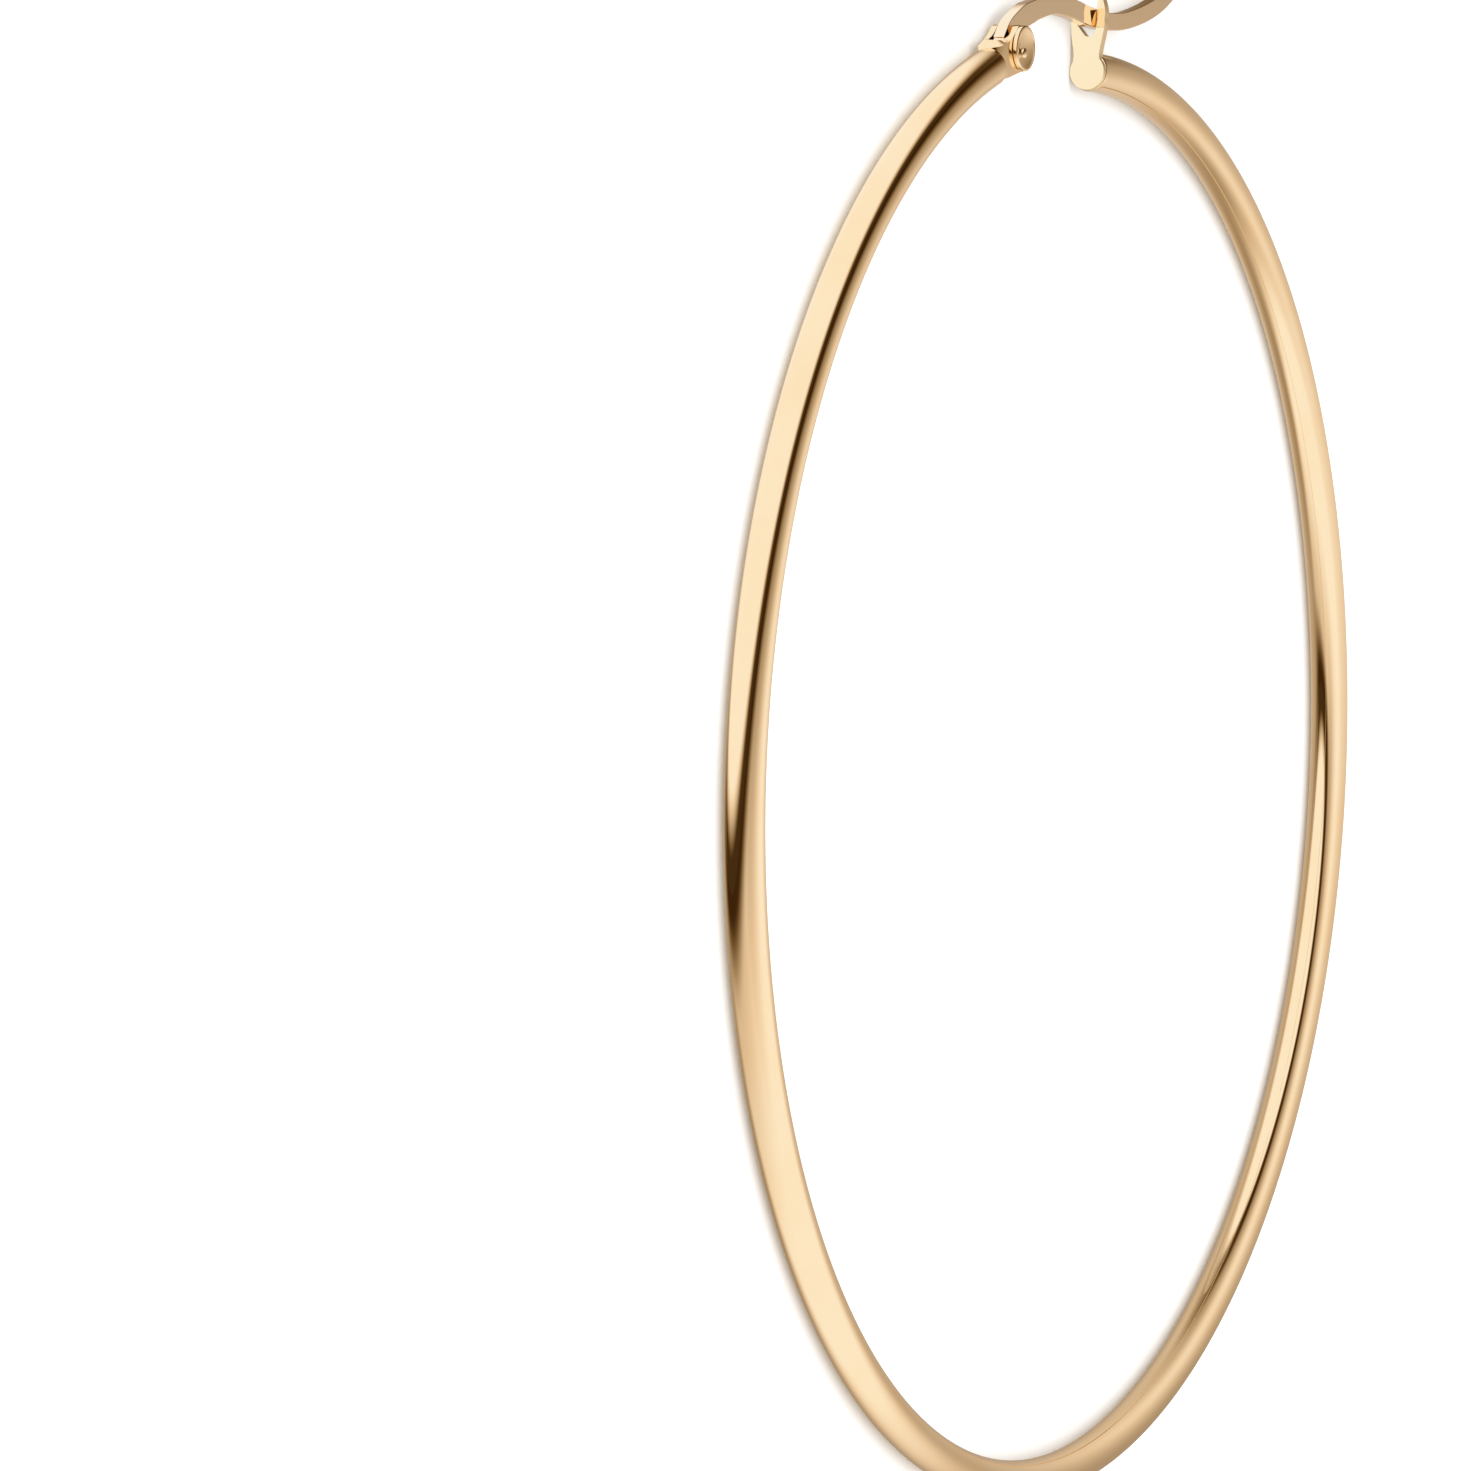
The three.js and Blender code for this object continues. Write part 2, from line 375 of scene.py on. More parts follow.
@dataclass(frozen=True)
class Gold:
    """Polished yellow gold: mirror smooth, with fine rubbing marks and a breath of unevenness."""

    name: str = "polished_gold"
    tint: tuple[float, float, float] = (1.0, 0.81, 0.54)
    warm_tint: tuple[float, float, float] = (1.0, 0.785, 0.5)
    smooth: float = 0.025
    rubbed: float = 0.085
    mark_scale: float = 900.0
    mark_stretch: tuple[float, float, float] = (1.0, 1.0, 1.0)
    mark_detail: float = 6.0
    mark_roughness: float = 0.7
    mark_edge: tuple[float, float] = (0.5, 0.75)
    cloud_scale: float = 220.0
    cloud_detail: float = 3.0
    cloud_edge: tuple[float, float] = (0.35, 0.7)
    speck_scale: float = 1400.0
    speck_edge: tuple[float, float] = (0.02, 0.12)
    # How much clouds, marks and specks each roughen it, and clouds and marks each raise it.
    rubbing: tuple[float, float, float] = (0.3, 0.35, 0.25)
    raising: tuple[float, float] = (0.6, 0.4)
    relief: float = 0.02
    relief_depth: float = 0.00002

    def material(self) -> bpy.types.Material:
        """Builds the finish.

        Returns:
            The material.
        """
        material = bpy.data.materials.new(self.name)
        material.use_nodes = True
        nodes = Nodes(material.node_tree)
        place = nodes.add("ShaderNodeTexCoord", {}).outputs["Object"]
        point = nodes.add("ShaderNodeMapping", {}, Vector=place, Scale=self.mark_stretch).outputs[0]
        clouds = nodes.add(
            "ShaderNodeTexNoise", {}, Vector=point, Scale=self.cloud_scale, Detail=self.cloud_detail
        )
        marks = nodes.add(
            "ShaderNodeTexNoise",
            {},
            Vector=point,
            Scale=self.mark_scale,
            Detail=self.mark_detail,
            Roughness=self.mark_roughness,
        )
        specks = nodes.add("ShaderNodeTexVoronoi", {"feature": "F1"}, Vector=point, Scale=self.speck_scale)
        cloud = nodes.shade(clouds).step(*self.cloud_edge)
        mark = nodes.shade(marks).step(*self.mark_edge)
        speck = 1 - nodes.shade(specks, "Distance").step(*self.speck_edge)
        by_cloud, by_mark, by_speck = self.rubbing
        wear = by_cloud * cloud + by_mark * mark + by_speck * speck
        rough = self.smooth + (self.rubbed - self.smooth) * wear
        colour = nodes.add(
            "ShaderNodeMix", {"data_type": "RGBA"}, Factor=cloud, i6=(*self.tint, 1), i7=(*self.warm_tint, 1)
        )
        height = self.raising[0] * nodes.shade(clouds) + self.raising[1] * nodes.shade(marks)
        bump = nodes.add(
            "ShaderNodeBump", {}, Height=height, Strength=self.relief, Distance=self.relief_depth
        )
        shader = nodes.add(
            "ShaderNodeBsdfPrincipled",
            {},
            Base_Color=colour.outputs[2],
            Metallic=1.0,
            Roughness=rough,
            Normal=bump.outputs[0],
        )
        nodes.add("ShaderNodeOutputMaterial", {}, Surface=shader.outputs[0])
        return material


TUBE_GOLD = Gold(name="drawn_tube_gold", rubbed=0.09, mark_scale=700.0)
STRIP_GOLD = Gold(name="bent_strip_gold", smooth=0.03, rubbed=0.1, mark_scale=1000.0)
PLATE_GOLD = Gold(
    name="sawn_plate_gold",
    tint=(1.0, 0.845, 0.575),
    warm_tint=(1.0, 0.83, 0.545),
    smooth=0.035,
    rubbed=0.1,
    mark_scale=1100.0,
)
RIVET_GOLD = Gold(name="turned_rivet_gold", smooth=0.03, rubbed=0.12, mark_scale=1300.0, relief=0.04)
BAR_GOLD = Gold(
    name="brushed_bar_gold",
    tint=(1.0, 0.84, 0.62),
    warm_tint=(1.0, 0.82, 0.585),
    smooth=0.04,
    rubbed=0.12,
    mark_stretch=(0.25, 1.0, 1.0),
    relief=0.03,
)


# Pieces


def edges_over(bm: bmesh.types.BMesh, degrees: float) -> list[bmesh.types.BMEdge]:
    """The edges where two faces meet at more than an angle.

    Args:
        bm: the mesh.
        degrees: the angle.

    Returns:
        The edges.
    """
    limit = math.radians(degrees)
    return [e for e in bm.edges if len(e.link_faces) == 2 and e.calc_face_angle() > limit]


def round_edges(bm: bmesh.types.BMesh, width: float, degrees: float = 35.0, segments: int = 4) -> None:
    """Rounds the edges over an angle.

    Args:
        bm: the mesh.
        width: the rounding's width.
        degrees: the least angle of an edge that is rounded.
        segments: how many faces the rounding has.
    """
    bmesh.ops.bevel(
        bm,
        geom=edges_over(bm, degrees),
        offset=width,
        offset_type="OFFSET",
        affect="EDGES",
        segments=segments,
        profile=0.5,
        material=-1,
        clamp_overlap=True,
    )


def thicken(
    bm: bmesh.types.BMesh, faces: Sequence[bmesh.types.BMFace], by: Vector, keep: bool = True
) -> list[bmesh.types.BMVert]:
    """Pulls flat faces into a solid, or one end of a solid further out.

    Args:
        bm: the mesh.
        faces: the faces to pull.
        by: how far and which way.
        keep: whether the faces also stay where they were.

    Returns:
        The moved vertices.
    """
    pulled = bmesh.ops.extrude_face_region(bm, geom=list(faces), use_keep_orig=keep)["geom"]
    moved = [g for g in pulled if isinstance(g, bmesh.types.BMVert)]
    bmesh.ops.translate(bm, verts=moved, vec=by)
    return moved


def loop_edges(bm: bmesh.types.BMesh, points: Iterable[Vector]) -> list[bmesh.types.BMEdge]:
    """Draws a closed outline in the plane of X and Y.

    Args:
        bm: the mesh.
        points: the outline's corners.

    Returns:
        Its edges.
    """
    verts = [bm.verts.new((p.x, p.y, 0.0)) for p in points]
    return [bm.edges.new((verts[i - 1], verts[i])) for i in range(len(verts))]


@dataclass
class Piece:
    """One piece of the earring: its mesh, its place, its finish and the body that it moves with."""

    name: str = "piece"
    seat: Seat = Seat.HOOP
    body: str = "hoop"
    node: str = "hoop"
    finish: Gold = Gold()
    weighted: bool = True

    def shape(self, bm: bmesh.types.BMesh) -> None:
        """Shapes the mesh in the seat's millimetres."""
        raise NotImplementedError

    def build(self) -> bpy.types.Object:
        """Makes the piece, dresses it and joins it to its body.

        Returns:
            The finished object.
        """
        bm = bmesh.new()
        self.shape(bm)
        bmesh.ops.remove_doubles(bm, verts=bm.verts[:], dist=SAME_PLACE)
        bmesh.ops.recalc_face_normals(bm, faces=bm.faces[:])
        bmesh.ops.transform(bm, matrix=seat_matrix(self.seat), verts=bm.verts[:])
        mesh = bpy.data.meshes.new(self.name)
        bm.to_mesh(mesh)
        bm.free()
        mesh.polygons.foreach_set("use_smooth", [True] * len(mesh.polygons))
        mesh.set_sharp_from_angle(angle=math.radians(SHARP_ANGLE))
        mesh.materials.append(self.finish.material())
        piece = bpy.data.objects.new(self.name, mesh)
        bpy.context.scene.collection.objects.link(piece)
        if self.weighted:
            flats = piece.modifiers.new("flat faces", "WEIGHTED_NORMAL")
            flats.keep_sharp = True
            flats.weight = FLAT_FACE_WEIGHT
        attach(piece, self.body)
        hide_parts(self.node)
        return piece


@dataclass
class HoopTube(Piece):
    """The round tube, bent in a circle, with its ends sprung a little off it."""

    name: str = "hoop_tube"
    finish: Gold = TUBE_GOLD
    weighted: bool = False
    sides: int = 48
    steps: int = 540
    rim: float = 0.08
    rim_angle: float = 60.0

    def spring(self, distance: float) -> float:
        """How much of an end's spring is left at a distance along the tube from it."""
        return max(0.0, 1 - distance / SIZES.end_spring_length) ** 2

    def shape(self, bm: bmesh.types.BMesh) -> None:
        """Spins a ring round the hoop, closes its ends and springs them.

        Args:
            bm: the mesh to fill.
        """
        radius = SIZES.circle_radius
        start = SIZES.catch_angle + (SIZES.plate_thickness - SIZES.solder_lap) / radius
        end = 2 * math.pi - SIZES.hinge_angle - (SIZES.hinge_reach - SIZES.solder_lap) / radius
        upright = Matrix.Translation((0, radius, 0)) @ Matrix.Rotation(math.pi / 2, 4, "Y")
        place = Matrix.Rotation(-start, 4, "Z") @ upright
        bmesh.ops.create_circle(bm, segments=self.sides, radius=SIZES.tube_radius, matrix=place)
        bmesh.ops.spin(
            bm,
            geom=bm.verts[:] + bm.edges[:],
            cent=(0, 0, 0),
            axis=(0, 0, -1),
            angle=end - start,
            steps=self.steps,
        )
        bmesh.ops.holes_fill(bm, edges=[e for e in bm.edges if e.is_boundary], sides=0)
        bmesh.ops.recalc_face_normals(bm, faces=bm.faces[:])
        round_edges(bm, self.rim, self.rim_angle)
        for vert in bm.verts:
            angle = math.atan2(vert.co.x, vert.co.y) % (2 * math.pi)
            rise = SIZES.hinge_end_rise * self.spring((end - angle) * radius)
            drop = SIZES.catch_end_drop * self.spring((angle - start) * radius)
            vert.co += SIZES.on_circle(angle, rise - drop)


@dataclass
class HingeBox(Piece):
    """A strip bent round in a U, with two round ears that hold the pin."""

    name: str = "hinge_box"
    seat: Seat = Seat.HINGE
    finish: Gold = STRIP_GOLD
    ear_diameter: float = 2.36
    shoulder_angle: float = 100.0
    web_top: float = 0.62
    web_bottom: float = 1.15
    # Where the ears' rims reach the web, as a share of the way to its back.
    ramp_end: float = 0.72
    ramp_steps: int = 32
    rim_slope: float = 0.24
    rim_fall: float = 0.12
    slope_end: float = 0.2
    edge: float = 0.085
    edge_angle: float = 50.0
    ear_steps: int = 40
    back_steps: int = 40

    @property
    def ear_radius(self) -> float:
        """Half an ear's diameter."""
        return self.ear_diameter / 2

    @property
    def turn(self) -> float:
        """Where the arms turn into the round back, forward of the pin."""
        return -SIZES.hinge_reach + SIZES.hinge_width / 2

    def rim(self, x: float) -> float:
        """How far an ear's round rim is from the pin's height, at a distance forward of the pin."""
        return math.sqrt(max(self.ear_radius**2 - x * x, 0.0))

    def top(self, x: float) -> float:
        """The strip's upper edge: round on the ears, then down a ramp to the web.

        Args:
            x: distance forward of the pin.

        Returns:
            Its height above the pin.
        """
        angle = math.radians(self.shoulder_angle)
        start = self.ear_radius * Vector((math.cos(angle), math.sin(angle)))
        ramp = -self.ramp_end * SIZES.hinge_reach
        if x >= start.x:
            return self.rim(x)
        if x <= ramp:
            return self.web_top
        control, end = Vector((ramp / 2, self.web_top)), Vector((ramp, self.web_top))
        points = [start, *quadratic(start, control, end, self.ramp_steps)]
        after = next(i for i, p in enumerate(points) if p.x <= x)
        a, b = points[max(after - 1, 0)], points[after]
        share = 0.0 if a.x == b.x else (a.x - x) / (a.x - b.x)
        return a.y + share * (b.y - a.y)

    def bottom(self, x: float) -> float:
        """The strip's lower edge above the pin, at a distance forward of it: level, then round."""
        corner = -self.rim(self.web_bottom)
        return -self.web_bottom if x <= corner else -self.rim(x)

    def plan(self) -> list[Vector]:
        """The strip's outer line seen from outside the hoop.

        Returns:
            Its points, from one ear's front round the back to the other's.
        """
        half = SIZES.hinge_width / 2
        ear = [self.ear_radius * math.cos(math.pi / 2 * i / self.ear_steps) for i in range(self.ear_steps)]
        arm = [self.turn * i / self.ear_steps for i in range(self.ear_steps)]
        near = [Vector((x, half)) for x in ear + arm]
        back = arc(Vector((self.turn, 0.0)), half, 90, 270, self.back_steps)
        return near + back + [Vector((p.x, -p.y)) for p in reversed(near)]

    def shape(self, bm: bmesh.types.BMesh) -> None:
        """Lays a strip along the plan, gives it its thickness and rounds its edges.

        Args:
            bm: the mesh to fill.
        """
        plan = self.plan()
        bmesh.ops.create_grid(bm, x_segments=len(plan) - 1, y_segments=1, size=0.5)
        columns = sorted(bm.verts, key=lambda v: (round(v.co.x, 6), v.co.y))
        for i, point in enumerate(plan):
            low, high = columns[2 * i], columns[2 * i + 1]
            low.co = (point.x, self.bottom(point.x), point.y)
            high.co = (point.x, self.top(point.x), point.y)
        bmesh.ops.remove_doubles(bm, verts=bm.verts[:], dist=SAME_PLACE)
        bmesh.ops.recalc_face_normals(bm, faces=bm.faces[:])
        back = bm.faces[:][len(bm.faces) // 2]
        if back.normal.x > 0:
            bmesh.ops.reverse_faces(bm, faces=bm.faces[:])
        bmesh.ops.solidify(bm, geom=bm.faces[:], thickness=SIZES.strip_thickness)
        bmesh.ops.recalc_face_normals(bm, faces=bm.faces[:])
        self.slope_rim(bm)
        round_edges(bm, self.edge, self.edge_angle)

    def slope_rim(self, bm: bmesh.types.BMesh) -> None:
        """Raises the upper edge's inner side and lowers its outer side, most at the back.

        Args:
            bm: the strip's mesh.
        """
        half = SIZES.hinge_width / 2
        middle = half - SIZES.strip_thickness / 2
        quarter = half * math.pi / 2
        arm = -self.ear_diameter * self.slope_end - self.turn
        for vert in bm.verts:
            x, y, z = vert.co
            if y < 0:
                continue
            if x < self.turn:
                out = math.hypot(x - self.turn, z)
                run = half * math.acos(min(1.0, (self.turn - x) / out))
            else:
                out = abs(z)
                run = quarter + x - self.turn
            share = math.cos(math.pi / 2 * min(1.0, run / (quarter + arm))) ** 2
            vert.co.y += share * (self.rim_slope if out < middle else -self.rim_fall)


@dataclass
class LatchBar(Piece):
    """The flat S-shaped bar with its eye, arch, dip and rising tail."""

    name: str = "bar"
    seat: Seat = Seat.PIN
    body: str = "latch"
    node: str = "latch_bar"
    finish: Gold = BAR_GOLD
    tail_length: float = 10.6
    arch_height: float = 1.95
    depth: float = 0.95
    eye_diameter: float = 2.4
    eye_offset: float = 0.1
    hole_diameter: float = 0.76
    edge: float = 0.055
    steps: int = 150
    round_steps: int = 24
    search_steps: int = 800
    # How far to each side of a place its heading is taken, as a share of a step.
    heading_reach: float = 0.25
    # Run as a share of the span, rise of the arch's height, depth of the bar's.
    arch_rows: tuple[tuple[float, float, float], ...] = (
        (-0.05, 0.05, 1.8),
        (0.01, 0.39, 1.6),
        (0.09, 0.65, 1.27),
        (0.18, 0.8, 1.24),
        (0.27, 0.88, 1.18),
        (0.35, 0.94, 1.1),
        (0.53, 1.0, 1.05),
        (0.72, 0.89, 1.05),
        (0.87, 0.73, 1.05),
        (1.0, 0.57, 1.02),
    )
    # Run as a share of the tail's length past the catch plate, then as above.
    tail_rows: tuple[tuple[float, float, float], ...] = (
        (0.19, 0.4, 0.95),
        (0.37, 0.34, 0.93),
        (0.55, 0.4, 0.95),
        (0.72, 0.53, 0.96),
        (0.87, 0.72, 0.94),
        (1.0, 0.98, 0.9),
    )

    def line(self) -> list[Vector]:
        """The bar's middle line.

        Returns:
            Its points from the pin, with the bar's depth there as the third value.
        """
        span = SIZES.latch_span
        rows = [(run * span, rise, depth) for run, rise, depth in self.arch_rows]
        rows += [(span + run * self.tail_length, rise, depth) for run, rise, depth in self.tail_rows]
        return [Vector((x, rise * self.arch_height, depth * self.depth)) for x, rise, depth in rows]

    def sides(self) -> tuple[list[Vector], list[Vector], Vector, float]:
        """The bar's edges and its tip.

        Returns:
            The upper and the lower edge, the tip's middle, and the heading there in radians.
        """
        line = self.line()
        upper, lower = [], []
        nudge = self.heading_reach / self.steps
        for i in range(self.steps + 1):
            share = i / self.steps
            middle = catmull_rom(line, share)
            ahead = catmull_rom(line, min(share + nudge, 1.0)) - catmull_rom(line, max(share - nudge, 0.0))
            along = Vector((ahead.x, ahead.y)).normalized()
            out = Vector((-along.y, along.x)) * middle.z / 2
            upper.append(middle.xy + out)
            lower.append(middle.xy - out)
        return upper, lower, line[-1], math.atan2(along.y, along.x)

    def outline(self) -> list[Vector]:
        """The bar from the side: along its lower edge, round its tip, back, and round the eye.

        Returns:
            The outline's corners.
        """
        upper, lower, tip, heading = self.sides()
        eye = Vector((0.0, self.eye_offset))
        reach = self.eye_diameter / 2
        upper = [p for p in upper if (p - eye).length > reach]
        lower = [p for p in lower if (p - eye).length > reach and p.x > 0]
        turn = math.degrees(heading)
        end = arc(tip.xy, tip.z / 2, turn - 90, turn + 90, self.round_steps)[1:-1]
        start = math.degrees(math.atan2(upper[0].y - eye.y, upper[0].x - eye.x))
        stop = math.degrees(math.atan2(lower[0].y - eye.y, lower[0].x - eye.x)) + 360
        return lower + end + upper[::-1] + arc(eye, reach, start, stop, 3 * self.round_steps)[1:-1]

    def shape(self, bm: bmesh.types.BMesh) -> None:
        """Fills the outline round the pin's hole, and gives it its thickness.

        Args:
            bm: the mesh to fill.
        """
        outer = loop_edges(bm, self.outline())
        last = 360 * (self.round_steps - 1) / self.round_steps
        ring = arc(Vector((0.0, 0.0)), self.hole_diameter / 2, 0, last, self.round_steps - 1)
        hole = loop_edges(bm, ring)
        bmesh.ops.triangle_fill(bm, edges=outer + hole, use_beauty=True, use_dissolve=False)
        bmesh.ops.translate(bm, verts=bm.verts[:], vec=(0, 0, -SIZES.bar_thickness / 2))
        thicken(bm, bm.faces[:], Vector((0, 0, SIZES.bar_thickness)))
        bmesh.ops.recalc_face_normals(bm, faces=bm.faces[:])
        bmesh.ops.dissolve_limit(bm, angle_limit=math.radians(SAME_PLANE), verts=[], edges=bm.edges[:])
        round_edges(bm, self.edge)

    def in_fork(self) -> tuple[float, float]:
        """Where the bar crosses the catch plate.

        Returns:
            The bar's middle above the lobe's middle, and its depth.
        """
        pin = SIZES.on_circle(-SIZES.hinge_angle, SIZES.pin_circle)
        front = SIZES.on_circle(SIZES.catch_angle, SIZES.catch_circle)
        reach = front.x + SIZES.plate_thickness / 2 - pin.x
        line = self.line()
        points = [catmull_rom(line, i / self.search_steps) for i in range(self.search_steps + 1)]
        crossing = min(points, key=lambda p: abs(p.x - reach))
        x, y = pin.x + crossing.x - front.x, pin.y + crossing.y - front.y
        return x * math.sin(SIZES.catch_angle) + y * math.cos(SIZES.catch_angle), crossing.z


@dataclass
class CatchPlate(Piece):
    """The flat plate on the tube's other end: a lobe, a waist and a fork with one tall prong."""

    name: str = "catch_plate"
    seat: Seat = Seat.CATCH
    finish: Gold = PLATE_GOLD
    lobe_inset: float = 0.06
    short_waist: float = 0.78
    tall_waist: float = 0.64
    short_spread: float = 1.0
    tall_spread: float = 0.87
    fork_clearance: float = 0.03
    notch_depth: float = 0.5
    tall_prong: float = 0.9
    short_prong: float = 0.56
    tip_width: float = 0.18
    lobe_angles: tuple[float, float] = (150.0, 390.0)
    fork_root: float = 0.7
    fine: int = 12
    edge: float = 0.07
    edge_angle: float = 30.0
    bevel_depth: float = 0.2
    bevel_width: float = 0.25
    bevel_rise: float = 1.6
    bar: LatchBar = field(default_factory=LatchBar)

    def heights(self) -> tuple[float, float, float, float]:
        """Heights above the lobe's middle.

        Returns:
            Those of the notch's floor, the bar's top, the short tip and the tall tip.
        """
        height, depth = self.bar.in_fork()
        top = height + depth / 2
        return top - depth - self.notch_depth, top, top - self.short_prong, top + self.tall_prong

    def outline(self) -> list[Vector]:
        """The plate seen from the gap, with its x running down towards the short prong.

        Returns:
            The outline's corners.
        """
        lobe = SIZES.tube_radius - self.lobe_inset
        height = self.bar.in_fork()[0]
        half = SIZES.bar_thickness / 2 + self.fork_clearance
        floor, top, short_tip, tall_tip = self.heights()
        waist = floor / 2
        fine = self.fine
        bend = floor + self.notch_depth
        points = arc(Vector((0.0, 0.0)), lobe, *self.lobe_angles, 4 * fine)
        first = points[0]
        root = self.short_waist + self.fork_root * (self.short_spread - self.short_waist)
        rise = [
            points[-1],
            Vector((self.short_waist, waist)),
            Vector((root, floor)),
            Vector((self.short_spread, short_tip - self.tip_width)),
        ]
        points += [catmull_rom(rise, i / (3 * fine)) for i in range(1, 3 * fine + 1)]
        corner = Vector((self.short_spread - self.tip_width, short_tip - self.tip_width / 2))
        points += quadratic(points[-1], Vector((self.short_spread, short_tip)), corner, fine)
        points.append(Vector((half / 2, floor + self.fork_clearance)))
        points += quadratic(points[-1], Vector((0.0, floor)), Vector((-half / 2, floor)), fine)
        points += quadratic(points[-1], Vector((-half, floor)), Vector((-half, bend)), fine)
        points += [Vector((-half, bend + i / fine * (top - bend))) for i in range(1, fine + 1)]
        tip = Vector((-(half + self.tall_spread) / 2, tall_tip))
        points += quadratic(points[-1], Vector((-half, tall_tip - self.tip_width)), tip, 2 * fine)
        fall = [
            tip,
            Vector((-self.tall_spread, top)),
            Vector((-self.tall_spread, height)),
            Vector((-self.tall_spread, bend)),
            Vector((-self.tall_waist, waist)),
            first,
        ]
        points += [catmull_rom(fall, i / (5 * fine)) for i in range(1, 5 * fine)]
        return points

    def shape(self, bm: bmesh.types.BMesh) -> None:
        """Fills the outline, gives it its thickness and bevels the tall prong's inner edge.

        Args:
            bm: the mesh to fill.
        """
        edges = loop_edges(bm, self.outline())
        bmesh.ops.triangle_fill(bm, edges=edges, use_beauty=True, use_dissolve=False)
        bmesh.ops.translate(bm, verts=bm.verts[:], vec=(0, 0, SIZES.plate_thickness))
        base = thicken(bm, bm.faces[:], Vector((0, 0, self.bevel_depth - SIZES.plate_thickness)))
        faces = [f for f in bm.faces if all(v in base for v in f.verts)]
        front = thicken(bm, faces, Vector((0, 0, -self.bevel_depth)), keep=False)
        floor, _, _, tall_tip = self.heights()
        prong_middle = (self.tall_spread + SIZES.bar_thickness / 2) / 2
        for vert in front:
            if -prong_middle < vert.co.x < 0 and vert.co.y > floor:
                share = min(1.0, self.bevel_rise * (vert.co.y - floor) / (tall_tip - floor))
                vert.co.x -= self.bevel_width * share
        bmesh.ops.recalc_face_normals(bm, faces=bm.faces[:])
        turn = Matrix.Rotation(math.pi / 2, 3, "Y")
        bmesh.ops.rotate(bm, verts=bm.verts[:], cent=(0, 0, 0), matrix=turn)
        bmesh.ops.dissolve_limit(bm, angle_limit=math.radians(SAME_PLANE), verts=[], edges=bm.edges[:])
        round_edges(bm, self.edge, self.edge_angle)


@dataclass
class Rivet(Piece):
    """The hinge pin: a wide cupped head with a nub in it, a shank and a small domed foot."""

    name: str = "rivet"
    seat: Seat = Seat.HINGE
    node: str = "hinge_pin"
    finish: Gold = RIVET_GOLD
    weighted: bool = False
    pin_diameter: float = 0.66
    clearance: float = 0.02
    head_diameter: float = 2.3
    head_thickness: float = 0.25
    cup_diameter: float = 1.96
    cup_depth: float = 0.235
    cup_wall: float = 0.04
    nub_diameter: float = 0.56
    nub_rise: float = 0.17
    nub_place: tuple[float, float] = (0.14, -0.27)
    foot_diameter: float = 1.0
    foot_rise: float = 0.17
    rim: float = 0.09
    turns: int = 96
    fine: int = 10
    nub_sides: int = 40
    nub_rings: int = 24

    @property
    def seat_height(self) -> float:
        """The head's underside above the middle of the hinge box."""
        return SIZES.hinge_width / 2 + self.clearance

    def profile(self) -> list[tuple[float, float]]:
        """The rivet's outline, from the foot's middle out, up and in to the bottom of the cup.

        Returns:
            Its points, as distance from the axis and height.
        """
        seat = self.seat_height
        top = seat + self.head_thickness
        quarter = [math.pi / 2 * i / self.fine for i in range(self.fine + 1)]
        foot = [(self.foot_diameter / 2 * math.sin(a), -seat - self.foot_rise * math.cos(a)) for a in quarter]
        shank = [(self.pin_diameter / 2, -seat), (self.pin_diameter / 2, seat)]
        outer, rim, turn = self.head_diameter / 2, self.rim, self.rim / 2
        under = [(outer - turn + turn * math.sin(a), seat + turn - turn * math.cos(a)) for a in quarter]
        edge = [(outer - rim + rim * math.cos(a), top - rim + rim * math.sin(a)) for a in quarter]
        cup, wall = self.cup_diameter / 2, self.cup_wall
        lip = [(cup + wall * (1 - math.sin(a)), top - wall * (1 - math.cos(a))) for a in quarter]
        shares = [i / self.fine for i in range(1, self.fine + 1)]
        deep = self.cup_depth - wall
        dish = [(cup * (1 - t), top - wall - deep * (1 - (1 - t) ** 2)) for t in shares]
        return [*foot, *shank, *under, *edge, *lip, *dish]

    def shape(self, bm: bmesh.types.BMesh) -> None:
        """Spins the outline round the pin's axis, and sets the nub in the cup.

        Args:
            bm: the mesh to fill.
        """
        points = [bm.verts.new((max(radius, 0.0), 0.0, height)) for radius, height in self.profile()]
        chain = [bm.edges.new(pair) for pair in zip(points, points[1:])]
        bmesh.ops.spin(
            bm,
            geom=points + chain,
            cent=(0, 0, 0),
            axis=(0, 0, 1),
            angle=2 * math.pi,
            steps=self.turns,
            use_merge=True,
        )
        bmesh.ops.remove_doubles(bm, verts=bm.verts[:], dist=SAME_PLACE)
        floor = self.seat_height + self.head_thickness - self.cup_depth
        place = Matrix.Translation((*self.nub_place, floor))
        place @= Matrix.Diagonal((self.nub_diameter / 2, self.nub_diameter / 2, self.nub_rise, 1.0))
        bmesh.ops.create_uvsphere(
            bm, u_segments=self.nub_sides, v_segments=self.nub_rings, radius=1.0, matrix=place
        )


# Studio


